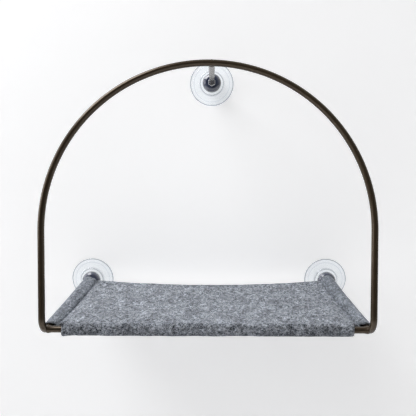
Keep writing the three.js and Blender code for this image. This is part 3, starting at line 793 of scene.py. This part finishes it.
def sling_grid():
    """The felt's middle surface as a grid of points, the squares of it that are there, and how many
    of its rows lie in the panel and of its columns in a sleeve."""
    places = panel_places()
    ys = [SLING_BACK, SLING_BACK - EDGE_ROW,
          *np.arange(SLING_BACK - 2.0, SLING_FRONT + 1.6, -ROW_PITCH),
          SLING_FRONT + EDGE_ROW, SLING_FRONT]
    rows = [sling_row(y, places) for y in ys]
    count = len(sleeve_section("left", SLING_BACK))
    columns, flap_row = [], 0
    for x, _, _ in rows[-1]:
        column, flap_row = wrap_column(max(-FRONT_END_X, min(FRONT_END_X, x)))
        columns.append(column)
    for k in range(len(columns[0])):
        rows.append([column[k] for column in columns])
    grid = np.array(rows)
    keep = np.ones((len(rows) - 1, len(rows[0]) - 1), bool)
    edge = next(i for i, x in enumerate(places) if x >= -FRONT_END_X - 1e-6)
    hem = next(i for i, x in enumerate(places) if x >= -HEM_X - 1e-6)
    first, wide = len(ys) - 1, count + edge
    keep[first:, :wide] = False
    keep[first:, len(rows[0]) - 1 - wide:] = False
    narrow = count + hem
    keep[first + 1 + flap_row:, :narrow] = False
    keep[first + 1 + flap_row:, len(rows[0]) - 1 - narrow:] = False
    return grid, keep, len(ys), count


# How far the front roll's left end opens, over which length, and up to which height in radii.
ROLL_FLARE = 1.3
ROLL_FLARE_RUN = 9.0
ROLL_FLARE_TOP = 0.35


def flare_roll(grid, row_count):
    """Opens the left end of the front roll a little, as felt does at a cut edge."""
    roll = grid[row_count:]
    share = np.clip(1 - (roll[:, :, 0] + FRONT_END_X) / ROLL_FLARE_RUN, 0, 1) ** 2
    outwards = roll - np.array([0.0, CROSSBAR_Y, CROSSBAR_RISE])
    outwards[:, :, 0] = 0
    length = np.linalg.norm(outwards, axis=2)
    low = np.clip(ROLL_FLARE_TOP - outwards[:, :, 2] / WRAP_RADIUS, 0, 1)
    low = low * (length < 2 * WRAP_RADIUS)
    roll += outwards / length[:, :, None] * (ROLL_FLARE * share * low)[:, :, None]


def grid_normals(grid):
    """Unit normals of a grid, up in the middle of the panel."""
    down = np.gradient(grid, axis=0)
    across = np.gradient(grid, axis=1)
    normal = np.cross(across, down)
    normal /= np.maximum(np.linalg.norm(normal, axis=2), 1e-9)[:, :, None]
    middle = normal[len(grid) // 3, grid.shape[1] // 2, 2]
    return -normal if middle < 0 else normal


def thick_sheet(grid, keep, thickness, edge_share=0.62):
    """A closed sheet of that thickness about a grid. Its edges, also round missing squares, keep
    only edge_share of it."""
    rows, columns = grid.shape[:2]
    kept = np.zeros((rows + 1, columns + 1), bool)
    kept[1:rows, 1:columns] = keep
    near = sum(kept[i:i + rows, j:j + columns].astype(int) for i in (0, 1) for j in (0, 1))
    share = np.where(near == 4, 1.0, edge_share)
    normal = grid_normals(grid)
    offset = normal * (thickness / 2 * share)[:, :, None]
    points = np.concatenate([(grid + offset).reshape(-1, 3), (grid - offset).reshape(-1, 3)])
    total = rows * columns
    r, c = np.nonzero(keep)
    a, b = r * columns + c, r * columns + c + 1
    d, e = b + columns, a + columns
    faces = [np.stack([a, e, d, b], 1), np.stack([a, b, d, e], 1) + total]
    for dr, dc, p, q in ((0, 1, a, b), (2, 1, d, e), (1, 0, e, a), (1, 2, b, d)):
        open_side = ~kept[r + dr, c + dc]
        p, q = p[open_side], q[open_side]
        faces.append(np.stack([p, q, q + total, p + total], 1))
    faces = np.concatenate(faces)
    live = np.unique(faces)
    index = np.zeros(2 * total, int)
    index[live] = np.arange(len(live))
    return points[live], index[faces]


def value_noise(x, y, seed):
    """Smooth noise from -1 to 1 on two coordinates, the same on each run."""
    def corner(i, j):
        n = i.astype(np.int64) * 374761393 + j.astype(np.int64) * 668265263 + seed * 362437
        n &= 0xFFFFFFFF
        n = ((n ^ (n >> 13)) * 1274126177) & 0xFFFFFFFF
        return ((n ^ (n >> 16)) & 0xFFFF) / 32767.5 - 1.0
    i, j = np.floor(x), np.floor(y)
    u, v = x - i, y - j
    u, v = u * u * (3 - 2 * u), v * v * (3 - 2 * v)
    low = corner(i, j) * (1 - u) + corner(i + 1, j) * u
    high = corner(i, j + 1) * (1 - u) + corner(i + 1, j + 1) * u
    return low * (1 - v) + high * v


# Layers of noise as (height, length across, length down, seed): undulation of the whole felt, and
# lumps in its front roll.
UNDULATION = ((0.32, 34, 27, 1), (0.18, 11, 9, 2), (0.11, 4.2, 3.6, 3))
ROLL_LUMPS = ((0.40, 26, 14, 4), (0.2, 9, 7, 5))


def layered_noise(along, down, layers):
    return sum(height * value_noise(along / wide, down / long, seed)
               for height, wide, long, seed in layers)


def soften(grid, row_count, sleeve_count):
    """Moves the felt's middle surface a little: undulation, puckers at the seams and lumps in the
    front roll."""
    rows, columns = grid.shape[:2]
    along = np.zeros((rows, columns))
    along[:, 1:] = np.cumsum(np.linalg.norm(np.diff(grid[:, :, ::2], axis=1), axis=2), axis=1)
    down = np.zeros((rows, columns))
    down[1:] = np.cumsum(np.linalg.norm(np.diff(grid[:, :, 1:], axis=0), axis=2), axis=0)
    move = layered_noise(along, down, UNDULATION)
    y = grid[:, :, 1]
    for side in (0, 1):
        seam = sleeve_count if side == 0 else columns - 1 - sleeve_count
        away = (along[:, seam:seam + 1] - along) * (1 if side == 0 else -1)
        wobble = layered_noise(down, away, ((0.55, 16, 25, 7 + side), (0.25, 5, 9, 9)))
        depth = np.clip(0.65 + 0.75 * value_noise(down / 9, away / 22, 11 + side), 0.1, 1.4)
        wave = 0.5 + 0.5 * np.cos(((y - SLING_BACK) / STITCH_PITCH + wobble) * 2 * math.pi)
        flank = np.exp(-((away - RIB_PLACE) / RIB_WIDTH) ** 2) * (away > 0)
        move -= RIB_DEPTH * depth * flank * wave ** 1.6
        fine = 0.5 + 0.5 * np.cos(((y - SLING_BACK) / FINE_RIB_PITCH + 1.3 * wobble) * 2 * math.pi)
        belt = np.exp(-((away - FINE_RIB_PLACE) / FINE_RIB_WIDTH) ** 2) * (away > 0)
        move -= FINE_RIB_DEPTH * belt * fine * depth
        move -= FINE_RIB_DEPTH * np.exp(-(away / DENT_WIDTH) ** 2) * (away <= 0) * wave
    move[row_count:] += layered_noise(along, down, ROLL_LUMPS)[row_count:]
    return grid + grid_normals(grid) * move[:, :, None]


def build_sling(material):
    grid, keep, row_count, sleeve_count = sling_grid()
    flare_roll(grid, row_count)
    grid = soften(grid, row_count, sleeve_count)
    points, faces = thick_sheet(grid, keep, FELT)
    return piece("felt_hammock", points, outward_quads(points, faces), material, "frame",
                 "felt_sling", sharp=60)


# The radius of a stitch along its length, as shares of STITCH_RADIUS. Its ends sink into the felt
# and its middle bows out, less so under the hem, where the row also stands a little further in.
STITCH_TAPER = np.array([0.6, 0.95, 1, 1, 1, 0.95, 0.6])
STITCH_BOW, STITCH_SINK = 0.55, 0.15
HEM_STITCH_BOW, HEM_STITCH_SINK, HEM_STITCH_INSET = 0.25, 0.1, 1.5
# How far a seam starts from the felt's back edge and ends before its front.
SEAM_START, SEAM_END = 2.2, 1.5


def stitch_line(y, top, sign):
    """The middle line of one stitch in the crease, or under the hem."""
    line = []
    for t in np.linspace(0, 1, len(STITCH_TAPER)):
        here = y - STITCH_LENGTH * t
        bow = math.sin(math.pi * t)
        if top:
            x = CREASE_X
            z = panel_height(CREASE_X, here) + FELT_HALF + STITCH_BOW * bow - STITCH_SINK
        else:
            x = CREASE_X - HEM_STITCH_INSET
            z = panel_height(CREASE_X, here) - HEM_DROP - FELT_HALF
            z = z - HEM_STITCH_BOW * bow + HEM_STITCH_SINK
        line.append((sign * x, here, z))
    return line


def build_stitches(side, material):
    """A row of short stitches in the crease, and the same row under the hem."""
    sign = -1 if side == "left" else 1
    points, faces = [], []
    y = SLING_BACK - SEAM_START
    while y - STITCH_LENGTH > SLING_FRONT + SEAM_END:
        for top in (True, False):
            p, f = swept(stitch_line(y, top, sign), STITCH_RADIUS * STITCH_TAPER, 8)
            start = sum(len(q) for q in points)
            points.append(p)
            faces += [tuple(i + start for i in face) for face in outward(p, f)]
        y -= STITCH_PITCH
    return piece(f"{side}_seam_stitches", np.concatenate(points), faces, material, "frame",
                 f"{side}_seam_thread")


# The rough face of a tape: its relief, and the size of its grain across and along.
TAPE_RELIEF = 0.16
TAPE_GRAIN = (1.7, 1.3)


def build_strip(name, drop, facing, material, node):
    """A tape with a plain back and a rough face, up for the hooks and down for the loops. Its
    middle surface lies by that drop below the panel's."""
    end = SIDE_ROD_X - STRIP_END_INSET
    front = FLAP_END - STRIP_WIDTH - FIT
    xs = np.linspace(-end, end, 260)
    ys = np.linspace(front + STRIP_WIDTH, front, 18)
    grid = np.array([[(x, y, panel_height(x, y) - drop) for x in xs] for y in ys])
    keep = np.ones((len(ys) - 1, len(xs) - 1), bool)
    points, faces = thick_sheet(grid, keep, STRIP_THICKNESS, 0.55)
    total = len(points) // 2
    face = np.arange(len(points)) < total if facing > 0 else np.arange(len(points)) >= total
    rough = TAPE_RELIEF * value_noise(points[:, 0] / TAPE_GRAIN[0], points[:, 1] / TAPE_GRAIN[1],
                                      21 + facing)
    points[:, 2] += np.where(face, facing * (rough - TAPE_RELIEF), 0.0)
    return piece(name, points, outward_quads(points, faces), material, "frame",
                 node)


# Build

bronze = mottled_material(
    "satin_bronze", ((70, 4, 0.6), (0.0290, 0.0200, 0.0120), (0.0385, 0.0275, 0.0170)),
    ((90, 3), 0.17, 0.24), ((150, 2), 0.00001, 0.1),
    {"IOR": 1.62, "Specular Tint": (1.0, 0.83, 0.66, 1.0)})
gloss = mottled_material(
    "dark_gloss", ((200, 3), (0.040, 0.050, 0.088), (0.053, 0.065, 0.112)),
    ((700, 3), 0.07, 0.14), ((500, 2), 0.00003, 0.3),
    {"IOR": 1.60, "Coat Weight": 1.0, "Coat IOR": 1.85, "Coat Roughness": 0.03})
steel = mottled_material(
    "nut_steel", ((300, 3), (0.46, 0.47, 0.50), (0.62, 0.63, 0.66)),
    ((900, 2), 0.10, 0.22), ((1800, 2), 0.00003, 0.3), {"Metallic": 1.0})
nylon = mottled_material(
    "natural_nylon", ((250, 3), (0.76, 0.77, 0.78), (0.85, 0.86, 0.87)),
    ((600, 2), 0.38, 0.52), ((1200, 2), 0.00004, 0.4), {})
felt = felt_material()
loops = tape_material("loop_tape", 1400)
hooks = tape_material("hook_tape", 900)
thread = thread_material()

build_hoop(bronze)
build_crossbar(bronze)
build_stay(bronze)
sling = build_sling(felt)
loop_drop = FELT_HALF + STRIP_GAP + STRIP_THICKNESS / 2
hook_drop = FELT_HALF + 2 * STRIP_GAP + STRIP_THICKNESS * 3 / 2
extras = [
    build_stitches("left", thread),
    build_stitches("right", thread),
    build_strip("loop_tape", loop_drop, -1, loops, "loop_strip"),
    build_strip("hook_tape", hook_drop, 1, hooks, "hook_strip"),
]
for side, (x, z) in CUPS.items():
    build_cup(side, x, z, vinyl_material(side, x, z), gloss, steel)
    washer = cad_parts[f"{side}_thrust_washer"]
    washer.data.materials.clear()
    washer.data.materials.append(nylon)


# Stage, light and camera

WALL_Y = 0.0032
FLOOR_Z = -0.80
WALL_LIFT = 0.386
# The wall's slope and pool are painted light: a gradient across it and a paler pool in its middle.
WALL_LIGHT_SLOPE = (0.11, 0.0, -0.015)
WALL_LIGHT_POOL = 0.065
FLOOR_LIFT = 0.30
SPAN = 5.0


def stage_plane(name, near, far, material):
    """A plane as wide as the stage between two edges, each given by its Y and Z."""
    mesh = bpy.data.meshes.new(name)
    corners = [(-SPAN, *near), (SPAN, *near), (SPAN, *far), (-SPAN, *far)]
    mesh.from_pydata(corners, [], [(0, 1, 2, 3)])
    mesh.update()
    mesh.materials.append(material)
    obj = bpy.data.objects.new(name, mesh)
    bpy.context.scene.collection.objects.link(obj)


stage_plane("wall", (WALL_Y, FLOOR_Z), (WALL_Y, SPAN),
            stage_material("wall_paint", (0.88, 0.88, 0.885), WALL_LIFT, WALL_LIGHT_SLOPE, WALL_LIGHT_POOL))
stage_plane("floor", (-SPAN, FLOOR_Z), (SPAN, FLOOR_Z),
            stage_material("floor_paint", (0.84, 0.84, 0.845), FLOOR_LIFT))


CENTRE = Vector((0.0, -0.15, 0.15))
LIGHT_DISTANCE = 2.2


def area_light(name, direction, size, power):
    """A rectangular light that shines on the middle of the object from that direction."""
    direction = Vector(direction).normalized()
    data = bpy.data.lights.new(name, "AREA")
    data.shape = "RECTANGLE"
    data.size, data.size_y = size
    data.energy = power
    obj = bpy.data.objects.new(name, data)
    obj.location = CENTRE + direction * LIGHT_DISTANCE
    obj.rotation_mode = "QUATERNION"
    obj.rotation_quaternion = (CENTRE - obj.location).to_track_quat("-Z", "Y")
    bpy.context.scene.collection.objects.link(obj)


area_light("side_box", (-0.90, -0.24, 0.24), (0.6, 1.2), 11)
area_light("top_box", (-0.56, -0.145, 0.83), (1.7, 1.2), 47)

# What the object reflects: the room is darker below, and nearly dark behind the camera.
ROOM = (0.48, 0.48, 0.49, 1)
LOWER_ROOM = (0.15, 0.15, 0.15, 1)
BEHIND_CAMERA = (0.04, 0.04, 0.04, 1)
CAMERA_SIDE = Vector((0.04, -1.0, 0.05)).normalized()
BACKDROP = (0.86, 0.86, 0.865, 1)


def build_world():
    """A soft room that lights the object, where the camera and clear parts see a plain pale
    backdrop."""
    m = Nodes("studio", "World")
    looking = m.node("TexCoord").outputs["Generated"]
    height = m.node("SeparateXYZ", {0: looking}).outputs[2]
    room = m.mix(m.remap(height, -0.15, 0.15, smooth=True), LOWER_ROOM, ROOM)
    ahead = m.node("VectorMath", {0: looking, 1: CAMERA_SIDE}, operation="DOT_PRODUCT")
    behind = m.remap(ahead.outputs["Value"], 0.45, 0.88, smooth=True)
    room = m.mix(behind, room, BEHIND_CAMERA)
    lit = m.node("Background", {"Color": room, "Strength": 1.0})
    seen = m.node("Background", {"Color": BACKDROP, "Strength": 1.0})
    path = m.node("LightPath").outputs
    plain = m.calculate("MAXIMUM", path["Is Camera Ray"], path["Is Transmission Ray"])
    return m.surface(m.node("MixShader", {0: plain, 1: lit.outputs[0], 2: seen.outputs[0]}))


bpy.context.scene.world = build_world()

# The camera, as fitted to the photo: the image's width and the focal length in pixels, the place
# in millimetres, and how far it looks down and to the side.
IMAGE = 416
FOCAL_PIXELS = 475.289
SENSOR = 36.0
CAMERA_PLACE = (6.94, -961.86, 268.03)
PITCH, YAW = math.radians(7.095), math.radians(-0.507)
lens = bpy.data.cameras.new("camera")
lens.sensor_width = SENSOR
lens.lens = FOCAL_PIXELS / IMAGE * SENSOR
camera = bpy.data.objects.new("camera", lens)
camera.location = [value * MM for value in CAMERA_PLACE]
camera.rotation_mode = "QUATERNION"
ahead = Vector((math.sin(YAW) * math.cos(PITCH), math.cos(YAW) * math.cos(PITCH),
                -math.sin(PITCH)))
camera.rotation_quaternion = ahead.to_track_quat("-Z", "Y")
bpy.context.scene.collection.objects.link(camera)
bpy.context.scene.camera = camera
bpy.context.scene.view_settings.view_transform = "Standard"

bpy.context.view_layer.update()
